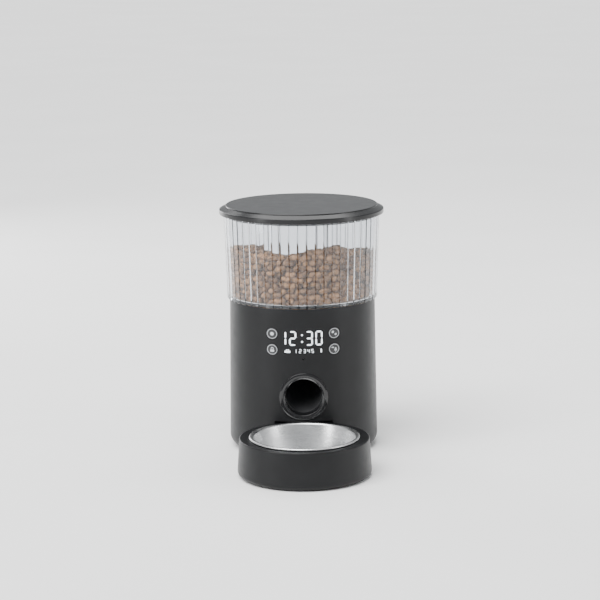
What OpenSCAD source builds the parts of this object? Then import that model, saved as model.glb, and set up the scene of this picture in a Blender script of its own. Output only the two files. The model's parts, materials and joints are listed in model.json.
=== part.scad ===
// Automatic pet feeder. A clear fluted hopper stands on a round body. A geared motor turns a
// metering rotor under the hopper, and food slides down a chute, through a round outlet, into a
// bowl in front. Millimetres, +Z up, front towards -Y, on the surface that the feeder stands on.
// The origin is the middle of the footprint's bounding box.

/* [Lid] */
// Radius of the lid, the widest part of the feeder
lid_r = 90; // [89:0.5:92]
// Radius of the lid's flat top
lid_top_r = 81.8; // [81:0.1:84]
// Height of the whole feeder
total_h = 269; // [268:0.5:272]

/* [Hopper] */
// Outer radius of the hopper under the lid
hopper_top_r = 85.5; // [85.3:0.1:85.6]
// Outer radius of the hopper at its foot
hopper_foot_r = 82.5; // [82:0.1:83]
// Number of flutes round the hopper
flutes = 56; // [40:4:64]

/* [Body] */
// Outer radius of the body just above its rounded foot
body_base_r = 81.8; // [81.5:0.1:82]
// Outer radius of the body at its top
body_top_r = 79.8; // [79.6:0.1:80]
// Height of the body
body_top_z = 166; // [165.5:0.1:166]
// Thickness of the moulded walls
wall = 2.4; // [2.2:0.1:2.5]

/* [Outlet and keys] */
// Radius of the outlet's bore
outlet_r = 20; // [19:0.1:20.2]
// Outer radius of the outlet ring
ring_r = 26.2; // [25.5:0.1:26.4]
// Height of the outlet's centre
outlet_z = 70.4; // [70.4:0.1:72]
// Radius of each key
key_r = 5.75; // [5:0.05:5.8]
// How far a key travels
key_travel = 0.8; // [0.4:0.1:0.8]

/* [Bowl] */
// Distance from the body's axis to the bowl stand's axis
stand_c = 137.2; // [137:0.1:138]
// Outer radius of the bowl stand at its foot
stand_foot_r = 71.2; // [70.8:0.1:71.3]
// Outer radius of the bowl stand at its rim
stand_rim_r = 68.6; // [68:0.1:68.8]
// Height of the bowl stand
stand_h = 41; // [40:0.1:41.2]
// Outer radius of the bowl's rolled rim
bowl_r = 58.2; // [57:0.1:58.3]

/* [Drive] */
// Gear module
gear_m = 1; // [1:1]
// Teeth on each pinion
pinion_n = 12; // [12:1]
// Teeth on each large gear
wheel_n = 42; // [42:1]
// Backlash taken off each tooth
backlash = 0.12; // [0.1:0.01:0.16]

/* [Hidden] */
$fn = 96;

// The body's axis lies behind the origin, so that the origin is mid-way between the bowl stand's
// front and the lid's back.
body_y = (stand_c + stand_foot_r - lid_r) / 2;
bowl_c = body_base_r + bowl_r + 0.8;

// Body
shell_z = 1.5;
foot_round = 12;
floor_r = 66;
pocket_top = stand_h + 2.3;
pocket_gap = 1.1;
ledge_z = 158;
rim_gap = 0.05;

// Outlet ring, as depths in front of the body's axis
ring_front = body_base_r + 0.4;
ring_back = 68;
spigot_r = outlet_r + 2.8;

// Display, centred a little off the body's axis
display_z = 134.8;
digit_w = 7.7;
digit_h = 15.9;
stroke = 1.65;
key_x = 33.3;
key_upper_z = 139.1;
key_lower_z = 121.9;
board_y = 66.5;
board_t = 1.6;

// Metering unit, from its floor up
drum_z = 100;
drum_floor = 2.4;
drum_r = 45;
drum_wall = 2.4;
drum_top = 124;
hub_r = 11;
rotor_z = drum_z + drum_floor + 0.6;
throat_r = 43.8;
throat_z = 126.4;
slot_angle = 28;

// Gearbox
box_z = 54;
plate_t = 2.5;
low_z = 57.5;
gear_t = 4.5;
high_z = 63;
high_t = 3.6;
cover_z = 67.5;
wheel_r = gear_m * wheel_n / 2;
pinion_r = gear_m * pinion_n / 2;
mesh_d = wheel_r + pinion_r;
idler_at = 75;
motor_at = 105;
idler_x = mesh_d * cos(idler_at);
idler_y = mesh_d * sin(idler_at);
motor_x = idler_x + mesh_d * cos(motor_at);
motor_y = idler_y + mesh_d * sin(motor_at);
shaft_r = 4;
run = 0.05;

// Batteries, three D cells side by side
cell_r = 16.6;
cell_pitch = 34.6;
cell_len = 60;
cell_z = 25;
box_x = 53.8;
box_y = 35.6;
box_top = 44;
cover_x = 52.6;
cover_y = 34.4;
cover_t = 2.6;
hinge_r = 1.3;

chute_slope = 30;
chute_back = 13;
chute_front = 67.8;

module at_body() translate([0, body_y, 0]) children();
module at_stand() translate([0, body_y - stand_c, 0]) children();
module at_bowl() translate([0, body_y - bowl_c, 0]) children();
module at_idler() translate([idler_x, idler_y, 0]) children();
module at_motor() translate([motor_x, motor_y, 0]) children();
// Lays a shape drawn with its axis along +Z so that the axis points to the front.
module forward() rotate([90, 0, 0]) children();
module mirror_x() for (s = [0, 1]) mirror([s, 0, 0]) children();

function cone_r(z) = body_base_r
    - (z - shell_z - foot_round) * (body_base_r - body_top_r) / (body_top_z - shell_z - foot_round);

module quarter_round(r) intersection() {
    circle(r = r);
    translate([0, -r]) square(r);
}

module tube(r_out, r_in, h) difference() {
    cylinder(r = r_out, h = h);
    translate([0, 0, -1]) cylinder(r = r_in, h = h + 2);
}

// A self-tapping screw, its head at the bottom and its point up
module screw(shank, head_r = 2.7, head_h = 1.6, shank_r = 1.4) {
    cylinder(r = head_r, h = head_h, $fn = 32);
    cylinder(r = shank_r, h = head_h + shank, $fn = 32);
}

// ---- Lid ----

module lid_cover() color("#17181a") at_body() rotate_extrude() {
    top = total_h;
    edge_z = top - 4.5;
    skirt_z = top - 9.6;
    skin = 2.2;
    difference() {
        union() {
            polygon([[0, skirt_z], [lid_r - 0.6, skirt_z], [lid_r, skirt_z + 0.6],
                     [lid_r, edge_z - 0.8], [lid_r - 0.9, edge_z + 0.3],
                     [lid_top_r + 1.2, top - 1.2], [0, top - 1.2]]);
            square_from([0, top - 1.3], [lid_top_r, top]);
            translate([lid_top_r, top - 1.2]) intersection() {
                circle(r = 1.2);
                square(2);
            }
        }
        polygon([[0, skirt_z - 1], [lid_r - 3.4, skirt_z - 1], [lid_r - 3.4, edge_z - 1.6],
                 [lid_top_r - 1, top - skin], [0, top - skin]]);
    }
}

module square_from(a, b) translate(a) square([b[0] - a[0], b[1] - a[1]]);

// The disc and plug ring clipped under the lid, which centre it in the hopper
module lid_liner() color("#202226") at_body() rotate_extrude() {
    under = total_h - 2.3;
    square_from([27, under - 2.2], [80.6, under]);
    square_from([78.2, under - 10.1], [80.6, under - 2]);
    square_from([78.2, under - 10.1], [81.9, under - 8.5]);
    square_from([78.2, under - 4.5], [81.9, under - 2.9]);
}

module lid_seal() color("#5c5f63") at_body() rotate_extrude() {
    under = total_h - 2.3;
    square_from([80.65, under - 8.45], [82.2, under - 4.55]);
    translate([82.2, under - 6.5]) intersection() {
        circle(r = 0.75);
        translate([0, -1]) square(2);
    }
}

module desiccant_cup() color("#202226") at_body() {
    under = total_h - 2.3;
    rotate_extrude() {
        square_from([0, under - 2.2], [26.95, under]);
        square_from([22.4, under - 15], [24.2, under - 2]);
    }
}

// The twist cap that keeps the drying pouch in its cup, with slots for air
module desiccant_cap() color("#2b2d31") at_body() translate([0, 0, total_h - 20]) {
    difference() {
        union() {
            cylinder(r = 26.4, h = 2.4);
            translate([0, 0, 2.4]) tube(26.4, 24.6, 6);
        }
        for (i = [0:8], q = [8, 15]) rotate(i * 40) translate([q, -1.1, -1]) cube([5, 2.2, 5]);
    }
    translate([-9, -1, -2]) cube([18, 2, 2.1]);
}

// ---- Hopper ----

// Outer radius of the funnel's cone at a height, between the hopper's foot and its throat
function funnel_r(z) = 46 + (z - 130) * 30 / 36.05;

module hopper() color([0.32, 0.34, 0.37, 0.4]) at_body() {
    foot_z = body_top_z + 1;
    top_z = total_h - 6.5;
    skin = 2.2;
    groove = 0.55;
    taper = atan((hopper_top_r - hopper_foot_r) / (top_z - foot_z));
    difference() {
        rotate_extrude($fn = 144) polygon([
            [hopper_foot_r, foot_z], [hopper_top_r, top_z], [hopper_top_r - skin, top_z],
            [hopper_foot_r - skin, foot_z + 4], [throat_r, throat_z + 4.5],
            [throat_r, throat_z], [throat_r + 2.2, throat_z], [throat_r + 2.2, 130],
            [funnel_r(body_top_z + rim_gap), body_top_z + rim_gap],
            [body_top_r, body_top_z + rim_gap], [body_top_r, foot_z]
        ]);
        // Sharp valleys between the flutes, sunk in the tapered wall
        for (i = [0:flutes - 1]) rotate((i + 0.5) * 360 / flutes)
            translate([hopper_foot_r, 0, foot_z]) rotate([0, taper, 0])
                translate([0, 0, -2]) linear_extrude(top_z - foot_z + 8)
                    polygon([[-groove, 0], [1, -groove - 1], [1, groove + 1]]);
    }
}

// ---- Body ----

module body_profile(inset, top) {
    f = foot_round;
    z0 = shell_z + f;
    b = body_base_r - inset;
    polygon([[0, shell_z + inset], [b - f + inset, shell_z + inset], [b - f + inset, z0],
             [b, z0], [cone_r(top) - inset, top], [0, top]]);
    translate([b - f + inset, z0]) quarter_round(f - inset);
}

module body_solid(inset = 0, top = body_top_z) rotate_extrude($fn = 144) body_profile(inset, top);

// The bay at the body's lower front, where the back of the bowl stand sits
module bowl_bay(grow, top) translate([0, -stand_c, -1])
    cylinder(r1 = stand_foot_r + pocket_gap + grow, r2 = stand_rim_r + pocket_gap + grow,
             h = top + 1, $fn = 120);

// One bar of a digit, its middle at the origin, lying along X or standing along Z
module bar(length, upright) rotate([0, upright ? 90 : 0, 0]) rotate([90, 0, 0])
    linear_extrude(100) polygon([
        [-length / 2, 0], [-length / 2 + stroke / 2, stroke / 2],
        [length / 2 - stroke / 2, stroke / 2], [length / 2, 0],
        [length / 2 - stroke / 2, -stroke / 2], [-length / 2 + stroke / 2, -stroke / 2]
    ]);

// Bars of a digit, lit ones only, as the letters a to g
module digit(lit) {
    w = digit_w - stroke;
    h = (digit_h - stroke) / 2;
    gap = 0.5;
    for (k = lit) {
        if (k == "a") translate([0, 0, h]) bar(w - gap, false);
        if (k == "g") bar(w - gap, false);
        if (k == "d") translate([0, 0, -h]) bar(w - gap, false);
        if (k == "b") translate([w / 2, 0, h / 2]) bar(h - gap, true);
        if (k == "c") translate([w / 2, 0, -h / 2]) bar(h - gap, true);
        if (k == "e") translate([-w / 2, 0, -h / 2]) bar(h - gap, true);
        if (k == "f") translate([-w / 2, 0, h / 2]) bar(h - gap, true);
    }
}

// The clock face 12:30, cut forward from the body's axis
module clock_face() translate([0, 0, display_z]) {
    translate([-22, 0, 0]) digit("bc");
    translate([-11.2, 0, 0]) digit("abged");
    for (s = [-1, 1]) translate([-1.2, 0, 3.7 * s]) forward() cylinder(r = 1.05, h = 100, $fn = 24);
    translate([6.6, 0, 0]) digit("abgcd");
    translate([17, 0, 0]) digit("abcdef");
}

module key_holes(r) for (s = [-1, 1], z = [key_lower_z, key_upper_z])
    translate([s * key_x, -50, z]) forward() cylinder(r = r, h = 60, $fn = 48);

module main_shell() color("#1b1c1f") at_body() difference() {
    union() {
        difference() {
            body_solid();
            difference() {
                body_solid(wall, body_top_z + 1);
                bowl_bay(wall, pocket_top + wall);
            }
        }
        // Ledge that the hopper well rests on
        intersection() {
            body_solid();
            translate([0, 0, ledge_z]) tube(90, 75.4, 2.4);
        }
        // Pillars for the screws that hold the base plate
        intersection() {
            body_solid();
            mirror_x() for (y = [-13, 13]) translate([60.5, y, 6.5]) {
                cylinder(r = 3.8, h = 20, $fn = 40);
                translate([2, -1, 0]) cube([20, 2, 20]);
            }
        }
    }
    translate([0, 0, shell_z - 1]) cylinder(r = floor_r, h = wall + 1.5);
    bowl_bay(0, pocket_top);
    translate([0, -50, outlet_z]) forward() cylinder(r = spigot_r + 0.2, h = 60);
    key_holes(key_r + 0.2);
    intersection() {
        clock_face();
        translate([-50, -100, 0]) cube([100, 60, 200]);
    }
    mirror_x() for (y = [-13, 13]) translate([60.5, y, 0]) cylinder(r = 1.45, h = 19, $fn = 32);
    // Microphone hole, power inlet and speaker holes
    translate([0, -70, 112]) forward() cylinder(r = 0.9, h = 20, $fn = 24);
    translate([0, 60, 22]) rounded_slot(9.6, 3.8, 40);
    translate([0, 60, 112]) speaker_holes(1.1, 40);
}

// A slot with round ends, cut towards the back
module rounded_slot(w, h, depth) rotate([-90, 0, 0]) linear_extrude(depth) {
    square([w - h, h], center = true);
    for (s = [-1, 1]) translate([s * (w - h) / 2, 0]) circle(d = h, $fn = 32);
}

module speaker_holes(r, depth) rotate([-90, 0, 0]) for (ring = [0:2])
    for (i = [0:max(0, 6 * ring - 1)]) rotate(i * 60 / max(1, ring))
        translate([4.4 * ring, 0, 0]) cylinder(r = r, h = depth, $fn = 20);

module outlet_ring() color("#101113") at_body() difference() {
    union() {
        difference() {
            translate([0, -60, outlet_z]) forward() cylinder(r = ring_r, h = ring_front - 60);
            body_solid(-0.05, 150);
        }
        translate([0, -ring_back, outlet_z]) forward()
            cylinder(r = spigot_r, h = ring_front - ring_back);
    }
    translate([0, -ring_back + 1, outlet_z]) forward()
        cylinder(r = outlet_r, h = ring_front - ring_back + 2);
    translate([0, -ring_front + 0.9, outlet_z]) forward()
        cylinder(r1 = outlet_r - 0.01, r2 = outlet_r + 1.1, h = 1.1);
}

// A diffuser behind the shell with the lit bars standing through its slots
module light_guide() color("#e9f2f5") at_body() {
    intersection() {
        difference() {
            body_solid(wall + 0.1, 150);
            body_solid(wall + 1.3, 151);
        }
        translate([-23, -90, display_z - 12]) cube([46, 50, 24]);
    }
    intersection() {
        clock_face_slim();
        difference() {
            body_solid(0.15, 150);
            body_solid(wall + 1.2, 151);
        }
    }
}

// The clock face with a hair's gap to the shell's slots all round
module clock_face_slim() intersection() {
    clock_face();
    translate([-50, -100, 0]) cube([100, 60, 200]);
    translate([0.02, 0, 0.02]) clock_face();
    translate([-0.02, 0, -0.02]) clock_face();
}

// The cone inside the body's top, which the hopper's funnel drops into
module hopper_well() color("#242629") at_body() difference() {
    rotate_extrude() polygon([
        [76.1, 163.4], [76.9, 163.4], [76.9, ledge_z + 2.45], [74.4, ledge_z + 2.45],
        [50.4, 130.6], [50.4, 126.6], [55, 126.6], [55, drum_top + 0.05],
        [47.7, drum_top + 0.05], [47.7, 130.4]
    ]);
    for (a = [30, 150, 270]) rotate(a) translate([52.6, 0, drum_top - 1])
        cylinder(r = 1.45, h = 3.1, $fn = 24);
}

module base_plate() color("#1b1c1f") at_body() difference() {
    union() {
        translate([0, 0, shell_z]) cylinder(r = floor_r - 0.3, h = wall);
        translate([0, 0, shell_z + wall + 0.05]) cylinder(r = 69.2, h = 2.5);
        translate([0, 0, shell_z + wall]) cylinder(r = floor_r - 0.3, h = 0.1);
    }
    bowl_bay(wall + 0.3, pocket_top);
    translate([-cover_x - 0.4, -cover_y - 0.4, 0])
        cube([2 * cover_x + 0.8, 2 * cover_y + 0.4 + hinge_r + 0.4, 20]);
    mirror_x() for (y = [-13, 13]) translate([60.5, y, 0]) {
        cylinder(r = 1.6, h = 20, $fn = 32);
        cylinder(r = 3.1, h = shell_z + 2, $fn = 32);
    }
    for (p = foot_places()) translate(p) cylinder(r = 5.1, h = shell_z + 1, $fn = 40);
}

function foot_places() = [[59.8, 0, 0], [-59.8, 0, 0], [0, -48, 0], [-30, 50, 0], [30, 50, 0]];

module case_screws() color("silver") at_body() mirror_x() for (y = [-13, 13])
    translate([60.5, y, shell_z + 0.3]) screw(14);

module feet() color("#3a3b3d") at_body() for (p = foot_places())
    translate(p) cylinder(r = 5, h = shell_z + 1, $fn = 40);

module speaker_grille_mesh() color("#101113") at_body() translate([0, 76.05, 112])
    rotate([-90, 0, 0]) cylinder(r = 13, h = 0.5);

// ---- Metering unit ----

module sector(r_in, r_out, half, h) linear_extrude(h) difference() {
    intersection() {
        circle(r = r_out);
        polygon([[0, 0], [-100 * tan(half), -100], [100 * tan(half), -100]]);
    }
    circle(r = r_in);
}

module metering_drum() color("#2b2d31") at_body() difference() {
    union() {
        translate([0, 0, drum_z]) cylinder(r = drum_r + drum_wall, h = drum_floor);
        translate([0, 0, drum_z]) tube(drum_r + drum_wall, drum_r, drum_top - drum_z);
        translate([0, 0, drum_top - 2.4]) tube(55, drum_r, 2.4);
        translate([0, 0, 88]) cylinder(r = 7, h = 12.1);
    }
    translate([0, 0, 80]) cylinder(r = shaft_r + 0.1, h = 30);
    translate([0, 0, drum_z + 1]) cylinder(r = 8.05, h = 3);
    translate([0, 0, drum_z - 1]) sector(15, 43, slot_angle, 5);
    for (a = [30, 150, 270]) rotate(a) translate([52.6, 0, drum_top - 4])
        cylinder(r = 1.6, h = 6, $fn = 24);
    for (p = post_places()) translate([p[0], p[1], drum_z - 0.5])
        cylinder(r = 1.6, h = 5, $fn = 24);
}

// Plate over the slot, so that only what is in the rotor's pockets can fall
module metering_baffle() color("#202226") at_body() translate([0, 0, drum_top + 0.05]) {
    tube(47.4, 44.2, 2.2);
    sector(12, 45, 46, 2.2);
}

module rotor() color("#8f9296") at_body() translate([0, 0, rotor_z]) difference() {
    union() {
        cylinder(r = hub_r, h = 20);
        for (i = [0:5]) rotate(i * 60 + 30) translate([hub_r - 2, -1.3, 0]) cube([35.2, 2.6, 19.6]);
        cylinder(r = 24, h = 1.2);
    }
    translate([0, 0, -1]) cylinder(r = 3.96, h = 17, $fn = 6);
    for (i = [0:5]) rotate(i * 60) translate([18, 0, -1]) cylinder(r = 3.2, h = 4, $fn = 32);
}

module agitator() color("#8f9296") at_body() translate([0, 0, rotor_z + 20.05]) {
    cylinder(r = 9, h = 10);
    cylinder(r1 = 9, r2 = 5, h = 13);
    for (i = [0:2]) rotate(i * 120 + 60) translate([0, 0, 7]) {
        rotate([0, 90, 0]) cylinder(r = 1.9, h = 37, $fn = 32);
        translate([26, 0, 0]) cylinder(r = 1.7, h = 18, $fn = 32);
        translate([26, 0, 18]) sphere(r = 1.7, $fn = 32);
        translate([37, 0, 0]) sphere(r = 1.9, $fn = 32);
    }
}

module drive_shaft() color("silver") at_body() {
    translate([0, 0, box_z + 0.6]) cylinder(r = shaft_r, h = drum_z + 2 - box_z - 0.6, $fn = 64);
    translate([0, 0, drum_z + 2]) cylinder(r = 3.9, h = 15, $fn = 6);
}

module shaft_bushes() color("#b9935a") at_body() for (z = [box_z, cover_z + 0.05])
    translate([0, 0, z]) tube(6, shaft_r + run, plate_t, $fn = 64);

module shaft_seal() color("#c8c4ba") at_body() translate([0, 0, drum_z + 1.05])
    tube(8, shaft_r + run, drum_floor - 1.1, $fn = 64);

module frame_screws() color("silver") at_body() {
    for (a = [30, 150, 270]) rotate(a) translate([52.6, 0, drum_top - 4.05]) screw(3.8, 2.4);
    for (p = post_places()) translate([p[0], p[1], drum_z + drum_floor + 0.4])
        mirror([0, 0, 1]) screw(8, 2.4, 0.4);
}

// ---- Gearbox ----

function post_places() = [[-20, 9], [20, 9], [0, 41]];
function inv(a) = tan(a) * 180 / PI - a;

// A spur gear's outline. shift moves the teeth out for a pinion and in for its wheel.
module gear_2d(teeth, shift, addendum) {
    r = gear_m * teeth / 2;
    rb = r * cos(20);
    tip = r + gear_m * addendum;
    root = r - gear_m * (1.25 - shift);
    start = max(rb, root) + 0.001;
    half = (PI / 2 + 2 * shift * tan(20)) / teeth * 180 / PI - backlash / 2 / r * 180 / PI;
    steps = 4;
    function half_at(q) = half + inv(20) - inv(acos(min(1, rb / q)));
    polygon([for (i = [0:teeth - 1]) each concat(
        [root * dir(i, teeth, -half_at(start))],
        [for (k = [0:steps]) let (q = start + (tip - start) * k / steps)
            q * dir(i, teeth, -half_at(q))],
        [for (k = [steps:-1:0]) let (q = start + (tip - start) * k / steps)
            q * dir(i, teeth, half_at(q))],
        [root * dir(i, teeth, half_at(start))]
    )]);
}
function dir(i, teeth, a) = [cos(360 * i / teeth + a), sin(360 * i / teeth + a)];

module wheel(h) linear_extrude(h) gear_2d(wheel_n, -0.3, 0.68);
module pinion(h) linear_extrude(h) gear_2d(pinion_n, 0.3, 1.2);

module output_gear() color("#d8d6cc") at_body() translate([0, 0, low_z]) difference() {
    union() {
        rotate(idler_at) wheel(gear_t);
        translate([0, 0, -0.8]) cylinder(r = 8, h = gear_t + 1.5);
    }
    translate([0, 0, -2]) cylinder(r = shaft_r + 0.01, h = 20, $fn = 64);
    for (i = [0:5]) rotate(i * 60) translate([13.5, 0, -1]) cylinder(r = 2.8, h = 9, $fn = 32);
}

module idler_gear() color("#e4e2d8") at_body() at_idler() difference() {
    union() {
        translate([0, 0, low_z]) rotate(idler_at + 180 + 180 / pinion_n) pinion(high_z - low_z);
        translate([0, 0, high_z]) rotate(motor_at) wheel(high_t);
    }
    translate([0, 0, low_z - 1]) cylinder(r = 1.5 + run, h = 12, $fn = 48);
}

module idler_axle() color("silver") at_body() at_idler() translate([0, 0, box_z + 0.5])
    cylinder(r = 1.5, h = cover_z + 1.9 - box_z - 0.5, $fn = 48);

module motor_pinion() color("#b9935a") at_body() at_motor() difference() {
    translate([0, 0, high_z - 0.3]) rotate(motor_at + 180 + 180 / pinion_n) pinion(high_t + 0.5);
    translate([0, 0, high_z - 2]) cylinder(r = 1.01, h = 8, $fn = 32);
}

module motor_shaft() color("silver") at_body() at_motor() translate([0, 0, 50.6])
    cylinder(r = 1, h = 16, $fn = 32);

module gearbox_outline(e) {
    circle(r = wheel_r + 2 + e);
    translate([idler_x, idler_y]) circle(r = wheel_r + 2 + e);
    translate([motor_x, motor_y]) circle(r = 13 + e);
    for (p = post_places()) translate([p[0] * 1.0, p[1]]) circle(r = 5 + e);
}

module gearbox_base() color("#3a3d42") at_body() difference() {
    union() {
        translate([0, 0, box_z]) linear_extrude(plate_t) gearbox_outline(2);
        translate([0, 0, box_z]) linear_extrude(cover_z - 0.05 - box_z) difference() {
            gearbox_outline(2);
            gearbox_outline(0);
        }
    }
    translate([0, 0, box_z - 1]) cylinder(r = 6.02, h = 5, $fn = 64);
    at_idler() translate([0, 0, box_z + 0.4]) cylinder(r = 1.51, h = 5, $fn = 48);
    at_motor() translate([0, 0, box_z - 1]) cylinder(r = 3.3, h = 5, $fn = 48);
    at_motor() for (s = [-1, 1]) translate([8 * s, 0, box_z - 1])
        cylinder(r = 1.1, h = 5, $fn = 24);
}

module gearbox_cover() color("#3a3d42") at_body() difference() {
    union() {
        translate([0, 0, cover_z]) linear_extrude(plate_t) gearbox_outline(2);
        for (p = post_places()) translate([p[0], p[1], cover_z])
            cylinder(r = 3.4, h = drum_z - 0.05 - cover_z, $fn = 40);
    }
    translate([0, 0, cover_z - 1]) cylinder(r = 6.02, h = 5, $fn = 64);
    at_idler() translate([0, 0, cover_z - 1]) cylinder(r = 1.51, h = 3, $fn = 48);
    for (p = post_places()) translate([p[0], p[1], drum_z - 12])
        cylinder(r = 1.45, h = 20, $fn = 24);
}

module gearbox_screws() color("silver") at_body() at_motor() for (s = [-1, 1])
    translate([8 * s, 0, box_z + plate_t + 1.25]) mirror([0, 0, 1]) screw(3.5, 2, 1.2, 1.05);

module motor() color("#9da1a6") at_body() at_motor() difference() {
    union() {
        translate([0, 0, 25]) cylinder(r = 12, h = 28.9);
        translate([0, 0, 53]) cylinder(r = 3.2, h = 2.2, $fn = 48);
    }
    translate([0, 0, 50]) cylinder(r = 1.06, h = 8, $fn = 32);
    for (s = [-1, 1]) translate([8 * s, 0, 50]) cylinder(r = 1.1, h = 8, $fn = 24);
}

module motor_cap() color("#e6e4da") at_body() at_motor() {
    translate([0, 0, 22]) cylinder(r = 11.4, h = 2.95);
    for (s = [-1, 1]) translate([6 * s - 1.2, -0.3, 19]) cube([2.4, 0.6, 3.1]);
}

// ---- Chute ----

module side_profile(points, half_w) rotate([90, 0, 90]) translate([0, 0, -half_w])
    linear_extrude(2 * half_w) polygon(points);

module chute() color("#26282b") at_body() {
    t = tan(chute_slope);
    run_y = chute_front - chute_back;
    low = outlet_z - outlet_r;
    axis_low = low + outlet_r / cos(chute_slope);
    top = drum_z - 0.1;
    difference() {
        side_profile([
            [-chute_back + 2, top], [-chute_back + 2, low - 3 + (run_y + 2) * t],
            [-chute_front, low - 3], [-chute_front, outlet_z + outlet_r + 2.6], [-50, top]
        ], 22.6);
        intersection() {
            side_profile([
                [-chute_back, top + 2], [-chute_back, 40], [-chute_front - 1, 40],
                [-chute_front - 1, outlet_z + outlet_r], [-48, top], [-48, top + 2]
            ], 30);
            union() {
                side_profile([
                    [-chute_back, top + 9], [-chute_front - 1, top + 9],
                    [-chute_front - 1, axis_low - t], [-chute_back, axis_low + run_y * t]
                ], outlet_r);
                translate([0, -chute_front, axis_low]) rotate([-90 + chute_slope, 0, 0])
                    translate([0, 0, -20]) cylinder(r = outlet_r, h = 110);
            }
        }
        mirror_x() translate([19, -44, 84]) rotate([0, 90, 0]) cylinder(r = 2.55, h = 5, $fn = 32);
    }
}

// Infrared lamp and receiver that watch for a blockage
module chute_sensors() color("#3c2f55") at_body() mirror_x()
    translate([outlet_r + 0.05, -44, 84]) rotate([0, 90, 0]) {
        cylinder(r = 2.5, h = 4.5, $fn = 32);
        translate([0, 0, 2.6]) cylinder(r = 3.1, h = 2, $fn = 32);
    }

// ---- Power ----

module battery_box() color("#2b2d31") at_body() {
    z0 = shell_z + wall + 2.6;
    difference() {
        translate([-box_x - 2, -box_y - 2, z0]) cube([2 * box_x + 4, 2 * box_y + 4, box_top - z0]);
        translate([-box_x, -box_y, z0 - 1]) cube([2 * box_x, 2 * box_y, box_top - z0 - 1]);
    }
}

module battery_cover() color("#1b1c1f") at_body() {
    difference() {
        translate([-cover_x, -cover_y, shell_z])
            cube([2 * cover_x, 2 * cover_y - hinge_r, cover_t]);
        // Finger grip beside the latch
        translate([-9, -cover_y + 4, shell_z - 1]) cube([18, 5, 2]);
    }
    translate([-cover_x, cover_y - hinge_r, shell_z + hinge_r]) rotate([0, 90, 0])
        cylinder(r = hinge_r, h = 2 * cover_x, $fn = 40);
    translate([-6, -cover_y + 2, shell_z + cover_t - 0.1]) cube([12, 1.2, 3]);
}

module batteries() color("#4a4e55") at_body() for (i = [-1:1])
    translate([i * cell_pitch, 0, cell_z]) rotate([90 + (i == 0 ? 180 : 0), 0, 0])
        translate([0, 0, -cell_len / 2 + 1.6]) {
            cylinder(r = cell_r, h = cell_len - 0.5);
            translate([0, 0, cell_len - 0.6]) cylinder(r = 4.75, h = 2.1, $fn = 48);
        }

module battery_contacts() color("#c9ccd0") at_body() for (i = [-1:1], s = [-1, 1])
    translate([i * cell_pitch - 6, s * (box_y - 0.25) - 0.2, cell_z - 6]) cube([12, 0.4, 12]);

function ring_points(c, t, r, sides) = let (
    n = norm([t[0], t[1]]), u = [t[1], -t[0], 0] / n, v = cross(t, u) / norm(t)
) [for (k = [0:sides - 1]) c + r * (cos(360 * k / sides) * u + sin(360 * k / sides) * v)];

module sweep(points, tangents, r, sides = 6) {
    n = len(points);
    polyhedron(
        [for (i = [0:n - 1]) each ring_points(points[i], tangents[i], r, sides)],
        concat(
            [[for (k = [0:sides - 1]) k]],
            [[for (k = [sides - 1:-1:0]) (n - 1) * sides + k]],
            [for (i = [0:n - 2], k = [0:sides - 1]) let (m = (k + 1) % sides)
                [i * sides + k, (i + 1) * sides + k, (i + 1) * sides + m, i * sides + m]]
        ), convexity = 8);
}

module battery_springs() color("#c9ccd0") at_body() for (i = [-1:1]) {
    turns = 3;
    steps = 12 * turns;
    length = 4.2;
    s = i == 0 ? -1 : 1;
    translate([i * cell_pitch, s * (box_y - 0.5), cell_z]) rotate([s * 90, 0, 0])
        translate([0, 0, -0.3 + 0.9]) sweep(
            [for (k = [0:steps]) let (q = 7 - 3 * k / steps)
                [q * cos(30 * k), q * sin(30 * k), length * k / steps]],
            [for (k = [0:steps]) let (q = 7 - 3 * k / steps)
                [-q * sin(30 * k), q * cos(30 * k), 0.4 * length / turns / 2]], 0.4);
}

module power_board() color("#2f6b3d") at_body() translate([-11, 60, 18.6])
    cube([22, 14, 1.6]);

module power_inlet() color("#c9ccd0") at_body() translate([0, 68, 22]) difference() {
    translate([0, 0.4, 0]) rounded_slot(9.2, 3.4, 10);
    translate([0, 3, 0]) rounded_slot(8.4, 2.6, 10);
}

// ---- Electronics ----

module main_board() color("#2f6b3d") at_body() translate([-38.2, -board_y, 108])
    cube([76.4, board_t, 38.5]);

// Posts that hold the board off the shell
module board_posts() color("#26282b") at_body() intersection() {
    for (s = [-1, 1], z = [112, (key_upper_z + key_lower_z) / 2])
        translate([s * key_x, -board_y - 0.05, z]) forward() cylinder(r = 2.2, h = 20, $fn = 32);
    body_solid(wall + 0.05, 160);
}

module display_module() color("#101113") at_body() translate([-21, -73.3, display_z - 11.5])
    cube([42, 73.3 - board_y - 0.05, 22]);

module key_switches() color("#d0d2d4") at_body() for (s = [-1, 1], z = [key_lower_z, key_upper_z])
    translate([s * key_x, 0, z]) {
        translate([-2.6, -board_y - 1.1, -2.6]) cube([5.2, 1.05, 5.2]);
        translate([0, -board_y - 1, 0]) forward() cylinder(r = 1.5, h = 0.4, $fn = 32);
    }

module key(x, z) color("#26282b") at_body() intersection() {
    translate([x, -board_y - 1.5 - key_travel - 0.1, z]) forward()
        cylinder(r = key_r, h = 20, $fn = 64);
    body_solid(-0.5, 160);
}
module key_clock() key(-key_x, key_upper_z);
module key_lock() key(-key_x, key_lower_z);
module key_feed() key(key_x, key_upper_z);
module key_record() key(key_x, key_lower_z);

module speaker() color("#3a3b3d") at_body() translate([0, 76, 112]) rotate([90, 0, 0]) {
    cylinder(r = 14, h = 2);
    translate([0, 0, 1.9]) cylinder(r1 = 12, r2 = 8, h = 2.6);
    translate([0, 0, 4.4]) cylinder(r = 6.5, h = 2);
}

module microphone() color("#c9ccd0") at_body() translate([0, -board_y - 0.05, 112]) forward()
    cylinder(r = 2.4, h = 3, $fn = 40);

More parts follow.
